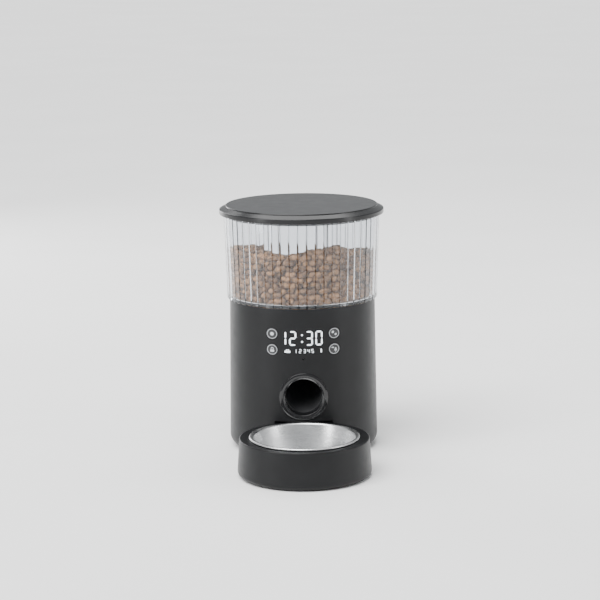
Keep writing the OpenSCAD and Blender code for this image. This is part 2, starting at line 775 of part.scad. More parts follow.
// A smooth curve through points, and its direction, for t from 0 to the number of spans
function at_end(p, i) = p[min(len(p) - 1, max(0, i))];
function curve(p, t) = let (
    i = min(len(p) - 2, floor(t)), u = t - i,
    a = at_end(p, i - 1), b = p[i], c = p[i + 1], d = at_end(p, i + 2)
) 0.5 * (2 * b + (c - a) * u + (2 * a - 5 * b + 4 * c - d) * u * u
    + (3 * b - a - 3 * c + d) * u * u * u);

module wire(route, r) {
    spans = len(route) - 1;
    steps = 8 * spans;
    e = 0.01;
    sweep(
        [for (k = [0:steps]) curve(route, spans * k / steps)],
        [for (k = [0:steps]) let (t = spans * k / steps)
            curve(route, min(spans, t + e)) - curve(route, max(0, t - e))],
        r);
}

wire_routes = [
    [[30, -64, 110], [44, -56, 100], [56, -36, 78], [52, -4, 54], [45, 30, 51], [30, 54, 36],
     [14, 58, 19], [6, 53, 17]],
    [[-30, -64, 110], [-44, -56, 100], [-57, -34, 78], [-58, -8, 56], [-48, 8, 47], [-36, 10, 45.4]],
    [[24, -64, 109.4], [46, -52, 104], [64, -22, 90], [66, 12, 70], [54, 42, 48], [26, 63, 28],
     [8, 66, 21.6]],
    [[-24, -64, 109.4], [-46, -52, 108], [-66, -18, 108], [-66, 20, 108], [-46, 54, 108],
     [-18, 66, 110], [-7, 68, 112]]
];

module wires() color("#7a2f2a") at_body() for (route = wire_routes) wire(route, 1.1);

// ---- Bowl and stand ----

module bowl_stand() color("#1b1c1f") {
    f = 6;
    z0 = 1;
    t = 2.2;
    hole_r = bowl_r - 1.8;
    difference() {
        at_stand() rotate_extrude($fn = 144) {
            polygon([[0, z0], [stand_foot_r - f, z0], [stand_foot_r - f, z0 + f],
                     [stand_foot_r, z0 + f], [stand_rim_r, stand_h - 1],
                     [stand_rim_r - 1, stand_h], [0, stand_h]]);
            translate([stand_foot_r - f, z0 + f]) quarter_round(f);
        }
        difference() {
            at_stand() rotate_extrude($fn = 144) polygon([
                [0, z0 - 1], [stand_foot_r - f, z0 - 1], [stand_foot_r - f, z0 + t],
                [stand_foot_r - t, z0 + f], [stand_rim_r - t, stand_h - t], [0, stand_h - t]
            ]);
            at_bowl() translate([0, 0, stand_h - 9]) cylinder(r = hole_r + 2, h = 20);
            for (a = [45:90:315]) at_stand() rotate(a) translate([58, 0, 0])
                cylinder(r = 4.6, h = z0 + 3, $fn = 40);
            for (a = [45:90:315]) at_stand() rotate(a) translate([58, -1, z0])
                cube([12, 2, 12]);
        }
        at_bowl() translate([0, 0, stand_h - 10]) cylinder(r = hole_r, h = 20);
        for (a = [45:90:315]) at_stand() rotate(a) translate([58, 0, -1])
            cylinder(r = 4, h = z0 + 2, $fn = 40);
    }
}

module stand_pads() color("#3a3b3d") at_stand() for (a = [45:90:315]) rotate(a)
    translate([58, 0, 0]) cylinder(r = 3.9, h = 1.9, $fn = 40);

module bowl() color("#c4c7ca") at_bowl() rotate_extrude($fn = 144) {
    bead = 1.3;
    neck = bowl_r - 3.4;
    rim_z = stand_h + bead + 0.05;
    translate([bowl_r - bead, rim_z]) circle(r = bead, $fn = 40);
    polygon([
        [0, 6.4], [40.4, 6.4], [45.2, 8.2], [47.6, 13.6], [neck - 0.2, stand_h - 1],
        [neck + 0.3, rim_z - 0.65], [bowl_r - bead, rim_z - 0.45], [bowl_r - bead, rim_z + 0.7],
        [neck - 0.1, rim_z + 0.6], [neck - 0.8, rim_z - 0.1], [neck - 1.1, stand_h - 1],
        [46.7, 14], [44.5, 8.9], [40, 7.3], [0, 7.3]
    ]);
}

lid_cover();
lid_liner();
lid_seal();
desiccant_cup();
desiccant_cap();
hopper();
main_shell();
outlet_ring();
light_guide();
hopper_well();
base_plate();
case_screws();
feet();
speaker_grille_mesh();
metering_drum();
metering_baffle();
rotor();
agitator();
drive_shaft();
shaft_bushes();
shaft_seal();
frame_screws();
gearbox_base();
gearbox_cover();
gearbox_screws();
output_gear();
idler_gear();
idler_axle();
motor_pinion();
motor_shaft();
motor();
motor_cap();
chute();
chute_sensors();
battery_box();
battery_cover();
batteries();
battery_contacts();
battery_springs();
main_board();
board_posts();
display_module();
key_switches();
key_clock();
key_lock();
key_feed();
key_record();
speaker();
microphone();
power_board();
power_inlet();
wires();
bowl_stand();
stand_pads();
bowl();
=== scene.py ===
import json
import math
import bmesh
import bpy
import numpy as np
from mathutils import Matrix, Vector


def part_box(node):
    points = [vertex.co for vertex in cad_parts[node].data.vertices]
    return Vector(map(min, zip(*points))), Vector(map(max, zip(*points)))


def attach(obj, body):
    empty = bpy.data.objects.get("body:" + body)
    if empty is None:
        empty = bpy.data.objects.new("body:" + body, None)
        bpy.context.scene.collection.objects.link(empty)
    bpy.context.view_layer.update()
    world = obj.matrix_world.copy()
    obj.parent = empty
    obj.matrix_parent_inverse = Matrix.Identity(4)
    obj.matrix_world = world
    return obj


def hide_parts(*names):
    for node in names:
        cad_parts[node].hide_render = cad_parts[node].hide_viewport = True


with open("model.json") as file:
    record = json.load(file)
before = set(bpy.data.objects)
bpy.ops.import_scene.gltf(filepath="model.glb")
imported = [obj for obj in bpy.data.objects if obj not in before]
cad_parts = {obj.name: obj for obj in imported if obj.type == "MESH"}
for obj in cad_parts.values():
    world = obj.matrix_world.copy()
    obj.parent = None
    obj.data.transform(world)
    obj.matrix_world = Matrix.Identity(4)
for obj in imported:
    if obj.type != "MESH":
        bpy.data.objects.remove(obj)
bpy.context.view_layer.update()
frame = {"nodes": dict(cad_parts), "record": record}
print("frame loaded")

# Axes of the three round masses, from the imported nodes
lidLow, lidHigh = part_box("lid_cover")
standLow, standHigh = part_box("bowl_stand")
bowlLow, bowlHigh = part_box("bowl")
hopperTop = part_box("hopper")[1][2]
bodyY = (lidLow[1] + lidHigh[1]) / 2
standY = (standLow[1] + standHigh[1]) / 2
bowlY = (bowlLow[1] + bowlHigh[1]) / 2

# The body's outer surface is a cone, so its radius falls with height
shell = dict(lowZ=0.0135, highZ=0.166, lowRadius=0.0818, highRadius=0.0798)


def shellRadius(z):
    # straight line between the two radii
    share = (z - shell["lowZ"]) / (shell["highZ"] - shell["lowZ"])
    return shell["lowRadius"] + share * (shell["highRadius"] - shell["lowRadius"])


def shellFront(x, z, lift=0.0):
    # y of the body's front at (x, z), moved out by lift
    return bodyY - np.sqrt((shellRadius(z) + lift) ** 2 - x**2)


def addNode(tree, kind, values=None, **settings):
    node = tree.nodes.new(kind)
    for key, value in settings.items():
        setattr(node, key, value)
    for key, value in (values or {}).items():
        node.inputs[key].default_value = value
    return node


def noiseField(tree, place, scale, detail=4.0, rough=0.5, stretch=None):
    # grey noise read at place, stretched by a Mapping node where the finish has a direction
    if stretch:
        mapping = addNode(tree, "ShaderNodeMapping", {"Scale": stretch})
        tree.links.new(place, mapping.inputs["Vector"])
        place = mapping.outputs["Vector"]
    noise = addNode(tree, "ShaderNodeTexNoise", {"Scale": scale, "Detail": detail, "Roughness": rough})
    tree.links.new(place, noise.inputs["Vector"])
    return noise.outputs["Fac"]


def spread(tree, value, low, high, fromLow=0.3, fromHigh=0.7):
    # value, stretched from [fromLow, fromHigh] to [low, high]
    node = addNode(tree, "ShaderNodeMapRange",
                   {"From Min": fromLow, "From Max": fromHigh, "To Min": low, "To Max": high})
    tree.links.new(value, node.inputs["Value"])
    return node.outputs["Result"]


def blendColours(tree, factor, dark, light):
    node = addNode(tree, "ShaderNodeMix", data_type="RGBA")
    node.inputs["A"].default_value = (*dark, 1)
    node.inputs["B"].default_value = (*light, 1)
    tree.links.new(factor, node.inputs["Factor"])
    return node.outputs["Result"]


def addBump(tree, height, strength, distance, under=None):
    node = addNode(tree, "ShaderNodeBump", {"Strength": strength, "Distance": distance})
    tree.links.new(height, node.inputs["Height"])
    if under is not None:
        tree.links.new(under, node.inputs["Normal"])
    return node.outputs["Normal"]


# Each finish: colour, how far it varies, least and greatest roughness, scale and depth of the moulded grain
finishes = dict(
    body_matte=dict(colour=(0.0062, 0.0064, 0.0070), vary=0.18, rough=(0.34, 0.42), grain=1500,
                    depth=0.00002, specular=0.2),
    lid_gloss=dict(colour=(0.0060, 0.0062, 0.0068), vary=0.10, rough=(0.22, 0.26), grain=1300,
                   depth=0.000004, specular=0.32),
    gloss_trim=dict(colour=(0.005, 0.005, 0.0055), vary=0.15, rough=(0.07, 0.11), grain=300, depth=0.000002),
    inner_plastic=dict(colour=(0.018, 0.0185, 0.020), vary=0.3, rough=(0.45, 0.60), grain=900, depth=0.00003),
    key_grey=dict(colour=(0.013, 0.0134, 0.0145), vary=0.15, rough=(0.26, 0.34), grain=1400, depth=0.00001),
    foot_rubber=dict(colour=(0.032, 0.032, 0.033), vary=0.4, rough=(0.75, 0.90), grain=1200, depth=0.00005),
    seal_rubber=dict(colour=(0.10, 0.105, 0.11), vary=0.2, rough=(0.50, 0.62), grain=800, depth=0.00002),
    wire_sleeve=dict(colour=(0.05, 0.02, 0.02), vary=0.5, rough=(0.55, 0.75), grain=2500, depth=0.00006),
    rotor_grey=dict(colour=(0.33, 0.34, 0.36), vary=0.15, rough=(0.38, 0.50), grain=900, depth=0.00002),
    gearbox_grey=dict(colour=(0.055, 0.058, 0.064), vary=0.2, rough=(0.42, 0.55), grain=1000, depth=0.00003),
    gear_white=dict(colour=(0.72, 0.70, 0.63), vary=0.08, rough=(0.30, 0.42), grain=700, depth=0.00001),
    sensor_dark=dict(colour=(0.030, 0.015, 0.050), vary=0.1, rough=(0.06, 0.12), grain=200, depth=0.000002),
    screw_steel=dict(colour=(0.60, 0.61, 0.62), vary=0.12, rough=(0.25, 0.42), grain=2200, depth=0.00002,
                     metal=1),
    motor_can=dict(colour=(0.52, 0.53, 0.55), vary=0.10, rough=(0.22, 0.36), grain=1200, depth=0.00001,
                   metal=1),
    bronze=dict(colour=(0.58, 0.40, 0.20), vary=0.15, rough=(0.28, 0.42), grain=1600, depth=0.00002, metal=1),
)


def newFinish(name):
    # a material with its node tree, its shader, and the socket that gives each point's place in metres
    material = bpy.data.materials.new(name)
    material.use_nodes = True
    tree = material.node_tree
    place = addNode(tree, "ShaderNodeTexCoord").outputs["Object"]
    return material, tree, tree.nodes["Principled BSDF"], place


def mouldedFinish(name, look):
    # plastic, rubber or plain metal: mottled colour and roughness, with a fine grain in the surface
    material, tree, shader, place = newFinish(name)
    shader.inputs["Metallic"].default_value = look.get("metal", 0)
    shader.inputs["Specular IOR Level"].default_value = look.get("specular", 0.5)
    broad = noiseField(tree, place, 35, 3)
    fine = noiseField(tree, place, look["grain"], 3, 0.6)
    dark = tuple(c * (1 - look["vary"]) for c in look["colour"])
    light = tuple(min(1, c * (1 + look["vary"])) for c in look["colour"])
    tree.links.new(blendColours(tree, spread(tree, broad, 0, 1), dark, light), shader.inputs["Base Color"])
    smudge = noiseField(tree, place, 90, 6, 0.65)
    tree.links.new(spread(tree, smudge, *look["rough"]), shader.inputs["Roughness"])
    tree.links.new(addBump(tree, fine, 0.6, look["depth"]), shader.inputs["Normal"])
    return material


materials = {name: mouldedFinish(name, look) for name, look in finishes.items()}


def clearFinish(name, tint, paintedGrooveShade, rough, ior):
    # clear plastic that lets lamps light what is behind it, with painted shade: its colour is darker where
    # the tint attribute marks a groove
    material, tree, shader, place = newFinish(name)
    # on this plastic the tint attribute carries painted shade in the flute grooves
    groove = addNode(tree, "ShaderNodeAttribute", attribute_name="tint").outputs["Fac"]
    tree.links.new(blendColours(tree, groove, tint, paintedGrooveShade), shader.inputs["Base Color"])
    shader.inputs["Transmission Weight"].default_value = 1
    shader.inputs["IOR"].default_value = ior
    wisps = noiseField(tree, place, 60, 5, 0.6)
    tree.links.new(spread(tree, wisps, *rough), shader.inputs["Roughness"])
    flow = noiseField(tree, place, 30, 2, 0.5, stretch=(1, 1, 0.25))
    tree.links.new(addBump(tree, flow, 0.15, 0.0004), shader.inputs["Normal"])
    through = addNode(tree, "ShaderNodeBsdfTransparent")
    through.inputs["Color"].default_value = (*tint, 1)
    mix = addNode(tree, "ShaderNodeMixShader")
    tree.links.new(addNode(tree, "ShaderNodeLightPath").outputs["Is Shadow Ray"], mix.inputs["Fac"])
    tree.links.new(shader.outputs["BSDF"], mix.inputs[1])
    tree.links.new(through.outputs["BSDF"], mix.inputs[2])
    tree.links.new(mix.outputs["Shader"], tree.nodes["Material Output"].inputs["Surface"])
    return material


def litFinish(name, colour, strength):
    # white mark that glows a little, uneven as a diffuser over small lamps is; on printed marks with no lamp
    # the glow is painted light
    material, tree, shader, place = newFinish(name)
    glow = noiseField(tree, place, 260, 2)
    dim = tuple(c * 0.86 for c in colour)
    shade = blendColours(tree, spread(tree, glow, 0, 1), dim, colour)
    tree.links.new(shade, shader.inputs["Base Color"])
    tree.links.new(shade, shader.inputs["Emission Color"])
    shader.inputs["Emission Strength"].default_value = strength
    tree.links.new(spread(tree, glow, 0.25, 0.4), shader.inputs["Roughness"])
    return material


def brushedFinish(name, colour):
    # stainless steel brushed round the bowl: noise drawn out along the piece's own map
    material, tree, shader, place = newFinish(name)
    shader.inputs["Metallic"].default_value = 1
    shader.inputs["Anisotropic"].default_value = 0.45
    uv = addNode(tree, "ShaderNodeUVMap", uv_map="around").outputs["UV"]
    hairs = noiseField(tree, uv, 1, 6, 0.7, stretch=(30, 2600, 1))
    bands = noiseField(tree, uv, 1, 3, 0.5, stretch=(8, 300, 1))
    cloud = noiseField(tree, place, 40, 4)
    dark = tuple(c * 0.88 for c in colour)
    tree.links.new(blendColours(tree, spread(tree, bands, 0, 1), dark, colour), shader.inputs["Base Color"])
    both = addNode(tree, "ShaderNodeMath", operation="MULTIPLY")
    tree.links.new(hairs, both.inputs[0])
    tree.links.new(spread(tree, cloud, 0.8, 1.25), both.inputs[1])
    tree.links.new(spread(tree, both.outputs["Value"], 0.20, 0.38), shader.inputs["Roughness"])
    tree.links.new(addBump(tree, hairs, 0.25, 0.00002), shader.inputs["Normal"])
    return material


def boardFinish(name):
    # green solder mask, raised and paler over the tracks
    material, tree, shader, place = newFinish(name)
    cells = addNode(tree, "ShaderNodeTexVoronoi", {"Scale": 420.0}, distance="CHEBYCHEV")
    tree.links.new(place, cells.inputs["Vector"])
    tracks = spread(tree, cells.outputs["Distance"], 0, 1, 0.25, 0.5)
    tree.links.new(blendColours(tree, tracks, (0.010, 0.075, 0.030), (0.018, 0.130, 0.050)),
                   shader.inputs["Base Color"])
    tree.links.new(spread(tree, noiseField(tree, place, 500), 0.22, 0.4), shader.inputs["Roughness"])
    tree.links.new(addBump(tree, tracks, 0.4, 0.00003), shader.inputs["Normal"])
    return material


def cellFinish(name, shoulderY):
    # battery sleeve: dark, with a copper-coloured shoulder that starts shoulderY behind the body's axis
    material, tree, shader, place = newFinish(name)
    parts = addNode(tree, "ShaderNodeSeparateXYZ")
    tree.links.new(place, parts.inputs["Vector"])
    shoulder = spread(tree, parts.outputs["Y"], 0, 1, bodyY + shoulderY, bodyY + shoulderY + 0.0002)
    tree.links.new(blendColours(tree, shoulder, (0.02, 0.021, 0.023), (0.50, 0.26, 0.10)),
                   shader.inputs["Base Color"])
    tree.links.new(spread(tree, noiseField(tree, place, 120, 5), 0.22, 0.36), shader.inputs["Roughness"])
    shader.inputs["Metallic"].default_value = 0.6
    tree.links.new(addBump(tree, noiseField(tree, place, 700), 0.3, 0.00001), shader.inputs["Normal"])
    return material


def kibbleFinish(name):
    # baked crumb: each biscuit has its own tint, with pores and a dusty bloom
    material, tree, shader, place = newFinish(name)
    tint = addNode(tree, "ShaderNodeAttribute", attribute_name="tint").outputs["Fac"]
    crumb = noiseField(tree, place, 700, 6, 0.7)
    both = addNode(tree, "ShaderNodeMath", operation="MULTIPLY_ADD")
    tree.links.new(crumb, both.inputs[0])
    both.inputs[1].default_value = 0.5
    tree.links.new(tint, both.inputs[2])
    tree.links.new(blendColours(tree, spread(tree, both.outputs["Value"], 0, 1, 0.1, 1.3),
                                (0.085, 0.034, 0.012), (0.33, 0.165, 0.066)), shader.inputs["Base Color"])
    tree.links.new(spread(tree, crumb, 0.75, 0.95), shader.inputs["Roughness"])
    tree.links.new(addBump(tree, crumb, 0.8, 0.0004), shader.inputs["Normal"])
    return material


# the dark groove colour is painted shade along the hopper's flute valleys
materials["smoked_clear"] = clearFinish("smoked_clear", tint=(0.82, 0.84, 0.87),
                                        paintedGrooveShade=(0.16, 0.17, 0.18), rough=(0.02, 0.05), ior=1.46)
materials["diffuser"] = litFinish("diffuser", (0.90, 0.96, 1.0), 1.5)
# key icons: printed grey marks with a faint painted glow
materials["marks"] = litFinish("marks", (0.50, 0.52, 0.54), 0.12)
materials["rowLight"] = litFinish("rowLight", (0.88, 0.93, 0.97), 0.7)
materials["bowl_steel"] = brushedFinish("bowl_steel", (0.66, 0.665, 0.67))
materials["board_green"] = boardFinish("board_green")
materials["cell_jacket"] = cellFinish("cell_jacket", shoulderY=0.014)
materials["kibble"] = kibbleFinish("kibble")
print("finishes made")


# Surfaces
def roundedPath(corners, steps=6, hold=0.0004):
    # closed outline (across, up, radius): each corner becomes an arc that touches both sides, with up to
    # hold of straight side kept next to it, so that shading stays flat beyond the arc
    rows = np.array(corners, dtype=float)
    points, radius = rows[:, :2], rows[:, 2]
    back = np.roll(points, 1, 0) - points
    ahead = np.roll(points, -1, 0) - points
    backLength = np.linalg.norm(back, axis=1)
    aheadLength = np.linalg.norm(ahead, axis=1)
    back /= backLength[:, None]
    ahead /= aheadLength[:, None]
    half = 0.5 * np.arccos(np.clip((back * ahead).sum(1), -0.999999, 0.999999))
    reach = radius / np.tan(half)
    room = np.minimum(backLength - reach - np.roll(reach, 1), aheadLength - reach - np.roll(reach, -1))
    extra = np.where(radius > 0, np.clip(np.minimum(hold, room * 0.3), 0, None), 0)
    bisector = back + ahead
    bisector /= np.linalg.norm(bisector, axis=1)[:, None]
    centre = points + bisector * (radius / np.sin(half))[:, None]
    start = points + back * reach[:, None] - centre
    end = points + ahead * reach[:, None] - centre
    sweep = math.pi - 2 * half
    share = np.linspace(0, 1, steps)[:, None]
    arc = (np.sin((1 - share) * sweep)[..., None] * start + np.sin(share * sweep)[..., None] * end)
    arc = arc / np.sin(sweep)[None, :, None] + centre
    arc = np.concatenate([(points + back * (reach + extra)[:, None])[None], arc,
                          (points + ahead * (reach + extra)[:, None])[None]])
    return arc.transpose(1, 0, 2).reshape(-1, 2)


def evenTurn(columns):
    # angles of columns equal steps round a full turn
    return np.linspace(0, 2 * math.pi, columns, endpoint=False)


def revolve(path, centreY, turn, outward=0.0):
    # path (radius, height) carried round a vertical axis; turn 0 faces the front
    angle = turn[:, None]
    radius = path[None, :, 0] + outward
    points = np.empty((len(turn), len(path), 3))
    points[..., 0] = radius * np.sin(angle)
    points[..., 1] = centreY - radius * np.cos(angle)
    points[..., 2] = path[None, :, 1]
    return points


def gridFaces(rows, columns, closeRows, closeColumns):
    # four corner indices of each cell of a grid, and each corner's place in the grid
    u, v = np.meshgrid(np.arange(rows if closeRows else rows - 1),
                       np.arange(columns if closeColumns else columns - 1), indexing="ij")
    corners = np.stack([np.stack([u, v], -1), np.stack([u + 1, v], -1),
                        np.stack([u + 1, v + 1], -1), np.stack([u, v + 1], -1)], 2).reshape(-1, 4, 2)
    return (corners[..., 0] % rows) * columns + corners[..., 1] % columns, corners


def newMesh(name, points, corners, starts):
    # corners: the vertex of each face corner in turn; starts: where each face begins among them
    mesh = bpy.data.meshes.new(name)
    mesh.vertices.add(len(points))
    mesh.vertices.foreach_set("co", points.ravel())
    mesh.loops.add(len(corners))
    mesh.loops.foreach_set("vertex_index", corners.astype(np.int32))
    mesh.polygons.add(len(starts))
    mesh.polygons.foreach_set("loop_start", starts.astype(np.int32))
    mesh.update(calc_edges=True)
    return mesh


def setTint(mesh, values):
    mesh.attributes.new("tint", "FLOAT", "POINT").data.foreach_set("value", values)


def tidyMesh(mesh, merge):
    # outward normals, and one vertex where merge finds several at one place
    work = bmesh.new()
    work.from_mesh(mesh)
    if merge:
        bmesh.ops.remove_doubles(work, verts=work.verts, dist=2e-6)
        bmesh.ops.dissolve_degenerate(work, edges=work.edges, dist=1e-7)
    bmesh.ops.recalc_face_normals(work, faces=work.faces)
    work.to_mesh(mesh)
    work.free()
    mesh.shade_smooth()


def addPiece(mesh, material, body):
    mesh.materials.append(material)
    piece = bpy.data.objects.new(mesh.name, mesh)
    bpy.context.scene.collection.objects.link(piece)
    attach(piece, body)
    return piece


def makePiece(name, grids, material, body, sharp=28, attribute=None):
    # each grid: points (rows, columns, 3), and whether it closes along rows and along columns
    points, faces, maps, count = [], [], [], 0
    for grid, closeRows, closeColumns in grids:
        rows, columns = grid.shape[:2]
        index, corners = gridFaces(rows, columns, closeRows, closeColumns)
        along = np.linalg.norm(np.diff(grid[0], axis=0, append=grid[0][:1]), axis=1)
        along = np.concatenate([[0], np.cumsum(along)])
        maps.append(np.stack([corners[..., 0] / rows, along[corners[..., 1]]], -1).reshape(-1, 2))
        points.append(grid.reshape(-1, 3))
        faces.append(index + count)
        count += rows * columns
    points, faces, maps = np.concatenate(points), np.concatenate(faces), np.concatenate(maps)
    mesh = newMesh(name, points, faces.ravel(), np.arange(0, faces.size, 4))
    mesh.uv_layers.new(name="around").data.foreach_set("uv", maps.ravel())
    if attribute is not None:
        setTint(mesh, attribute)
    tidyMesh(mesh, merge=True)
    mesh.set_sharp_from_angle(angle=math.radians(sharp))
    return addPiece(mesh, material, body)


# Lid: raised flat disc, sloping shoulder, upright band, hollow below
lid = dict(columns=192, discRadius=0.0830, discRise=0.0012, bandTop=0.26435, skin=0.0022, wall=0.0034,
           hollowDrop=0.0014, hollowInset=0.002)
lidR, lidTop, lidFoot = (lidHigh[0] - lidLow[0]) / 2, lidHigh[2], lidLow[2]
lidPath = roundedPath([
    (0, lidTop, 0), (lid["discRadius"], lidTop, 0.0010), (lid["discRadius"], lidTop - lid["discRise"], 0),
    (lidR, lid["bandTop"], 0.0010), (lidR, lidFoot, 0.0007), (lidR - lid["wall"], lidFoot, 0.0005),
    (lidR - lid["wall"], lid["bandTop"] - lid["hollowDrop"], 0.0006),
    (lid["discRadius"] - lid["hollowInset"], lidTop - lid["skin"], 0.0004), (0, lidTop - lid["skin"], 0),
])
lidPiece = makePiece("lidShell", [(revolve(lidPath, bodyY, evenTurn(lid["columns"])), True, True)],
                     materials["lid_gloss"], "lid")
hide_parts("lid_cover")

# Hopper: convex flutes that meet in sharp valleys, over a smooth bore and a funnel
hopper = dict(flutes=56, footRadius=0.0825, topRadius=0.0855, footZ=0.167, skin=0.0022, crown=0.00022,
              groove=0.0009, grooveFrom=0.80, boreFootZ=0.171, taper=0.003 / 0.0915, throatRadius=0.0438,
              throatWall=0.0022, throatTopZ=0.1309, throatZ=0.1264, rim=0.0798, rimUnder=0.16605,
              rimInner=0.076, rows=14, arc=6)
boreFoot = hopper["footRadius"] - hopper["skin"]
# places across a flute, from one valley to just short of the next, which starts the next flute
crownStops = np.array([0.28, 0.55, 0.76, hopper["grooveFrom"]])
fluteStops = np.concatenate([[-1], -crownStops[::-1], [0], crownStops])


def flutedWall(path, depthShare):
    # where depthShare is 1, the radius falls with the square of the way from a flute's middle, and steeply
    # in the groove at its edge
    across = np.tile(fluteStops, hopper["flutes"])
    flute = np.repeat(np.arange(hopper["flutes"]), len(fluteStops))
    turn = (flute + across / 2) * 2 * math.pi / hopper["flutes"]
    steep = np.clip((np.abs(across) - hopper["grooveFrom"]) / (1 - hopper["grooveFrom"]), 0, 1)
    drop = hopper["crown"] * across**2 + hopper["groove"] * steep
    wall = revolve(path, bodyY, turn, outward=-drop[:, None] * depthShare[None, :])
    # the second result is the share of painted groove shade: 1 in each groove's steep edge on the outer wall
    return wall, (steep[:, None] * depthShare[None, :]).ravel().astype(np.float32)


footBevel, topBevel = 0.0004, 0.0005
throatOuter = hopper["throatRadius"] + hopper["throatWall"]
innerWall = roundedPath([
    (hopper["topRadius"] - topBevel, hopperTop, 0), (hopper["topRadius"] - hopper["skin"], hopperTop, 0.0004),
    (boreFoot, hopper["boreFootZ"], 0.003), (hopper["throatRadius"], hopper["throatTopZ"], 0.002),
    (hopper["throatRadius"], hopper["throatZ"], 0.0004), (throatOuter, hopper["throatZ"], 0.0004),
    (throatOuter, 0.130, 0.001), (hopper["rimInner"], hopper["rimUnder"], 0.0004),
    (hopper["rim"], hopper["rimUnder"], 0.0003), (hopper["rim"], hopper["footZ"], 0),
    (hopper["footRadius"] - footBevel, hopper["footZ"], 0),
], steps=hopper["arc"])
innerWall = innerWall[hopper["arc"] + 2:]      # the first corner already ends the outer wall
wallRise = np.linspace(0, 1, hopper["rows"])[:, None]
wallFoot = np.array([[hopper["footRadius"], hopper["footZ"] + footBevel]])
wallTop = np.array([[hopper["topRadius"], hopperTop - topBevel]])
wallPath = np.concatenate([
    [[hopper["footRadius"] - footBevel, hopper["footZ"]]], wallFoot * (1 - wallRise) + wallTop * wallRise,
    [[hopper["topRadius"] - topBevel, hopperTop]],
])
hopperShare = np.concatenate([np.ones(len(wallPath)), np.zeros(len(innerWall))])
# the hopper's tint attribute carries the painted shade of its grooves
hopperGrid, grooveShadeShare = flutedWall(np.concatenate([wallPath, innerWall]), hopperShare)
hopperPiece = makePiece("hopperFluted", [(hopperGrid, True, True)], materials["smoked_clear"], "hopper",
                        sharp=20, attribute=grooveShadeShare)
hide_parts("hopper")

# Bowl stand: tapering ring with a level top, whose hole sits a little off its own axis
stand = dict(columns=192, footRadius=0.0712, rimRadius=0.0686, top=0.041, low=0.001, round=0.006,
             holeRadius=0.0564, wall=0.0022, wallFootZ=0.007, turnInZ=0.0032, collarWall=0.002,
             collarLow=0.032, bossRing=0.058)
standPath = roundedPath([
    (stand["holeRadius"], stand["top"], 0.0007), (stand["holeRadius"], stand["collarLow"], 0.0004),
    (stand["holeRadius"] + stand["collarWall"], stand["collarLow"], 0.0004),
    (stand["holeRadius"] + stand["collarWall"], stand["top"] - stand["wall"], 0.0008),
    (stand["rimRadius"] - stand["wall"], stand["top"] - stand["wall"], 0.0010),
    (stand["footRadius"] - stand["wall"], stand["wallFootZ"], 0.003),
    (stand["footRadius"] - stand["round"] + 0.0005, stand["turnInZ"], 0.0003),
    (stand["footRadius"] - stand["round"], stand["low"], 0.0004),
    (stand["footRadius"] + 0.0001, stand["low"], 0.0055), (stand["rimRadius"], stand["top"], 0.0013),
], steps=8)
standGrid = revolve(standPath, standY, evenTurn(stand["columns"]))
holeShare = np.clip((stand["holeRadius"] + 0.0071 - standPath[:, 0]) / 0.0045, 0, 1)     # 1 at the collar
standGrid[..., 1] += holeShare[None, :] * (bowlY - standY)

# Under the stand: a boss for each pad, and a rib from each boss to the wall
boss = dict(radius=0.0046, recess=0.0040, low=0.0010, floor=0.0020, top=0.0046, columns=32)
rib = dict(start=0.0620, end=0.0692, half=0.001, low=0.0032, top=0.0120)


def bossGrid(angle):
    # pad boss: a capped cylinder with a shallow recess for the pad
    path = np.array([(0, boss["floor"]), (boss["recess"], boss["floor"]), (boss["recess"], boss["low"]),
                     (boss["radius"], boss["low"]), (boss["radius"], boss["top"]), (0, boss["top"])])
    grid = revolve(path, 0, evenTurn(boss["columns"]))
    grid[..., 0] += stand["bossRing"] * math.cos(angle)
    grid[..., 1] += standY + stand["bossRing"] * math.sin(angle)
    return grid


def ribGrid(angle):
    # web from a boss to the wall: four corners, shrunk to a point below and above to close the bar
    start, end, half = rib["start"], rib["end"], rib["half"]
    corner = np.array([(start, -half), (end, -half), (end, half), (start, half)])
    turned = np.stack([corner[:, 0] * math.cos(angle) - corner[:, 1] * math.sin(angle),
                       corner[:, 0] * math.sin(angle) + corner[:, 1] * math.cos(angle)], -1)
    heights = np.array([rib["low"], rib["low"], rib["top"], rib["top"]])
    shrink = np.array([0, 1, 1, 0])
    middle = turned.mean(0)
    grid = np.empty((4, 4, 3))
    grid[..., :2] = middle + (turned - middle)[:, None, :] * shrink[None, :, None]
    grid[..., 2] = heights[None, :]
    grid[..., 1] += standY
    return grid


padAngles = [math.radians(a) for a in (45, 135, 225, 315)]
standPiece = makePiece("bowlStand", [(standGrid, True, True)]
                       + [(bossGrid(a), True, False) for a in padAngles]
                       + [(ribGrid(a), True, True) for a in padAngles],
                       materials["body_matte"], "bowl_stand")
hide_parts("bowl_stand")

# Bowl: thin pressed wall with a rolled rim
bowl = dict(columns=192, rim=0.0582, bead=0.0013, seat=0.00005, neck=0.0034, floor=0.0064, gauge=0.0009)
beadZ = stand["top"] + bowl["bead"] + bowl["seat"]
beadR = bowl["rim"] - bowl["bead"]
neck = bowl["rim"] - bowl["neck"]
beyond = (0.2, 0.3, 0)      # far out along the wall's line; the path is cut where it meets the bead
inside = roundedPath([
    (0, bowl["floor"] + bowl["gauge"], 0), (0.0415, bowl["floor"] + bowl["gauge"], 0.006),
    (0.0462, 0.0140, 0.010), (neck - 0.0008, beadZ + 0.0010, 0.0022), (beadR, beadZ + bowl["bead"], 0.0001),
    beyond,
], steps=10)
inside = inside[inside[:, 0] < beadR - 0.0004]
beadTurn = np.linspace(math.radians(100), math.radians(-175), 22)
beadArc = np.stack([beadR + bowl["bead"] * np.cos(beadTurn), beadZ + bowl["bead"] * np.sin(beadTurn)], -1)
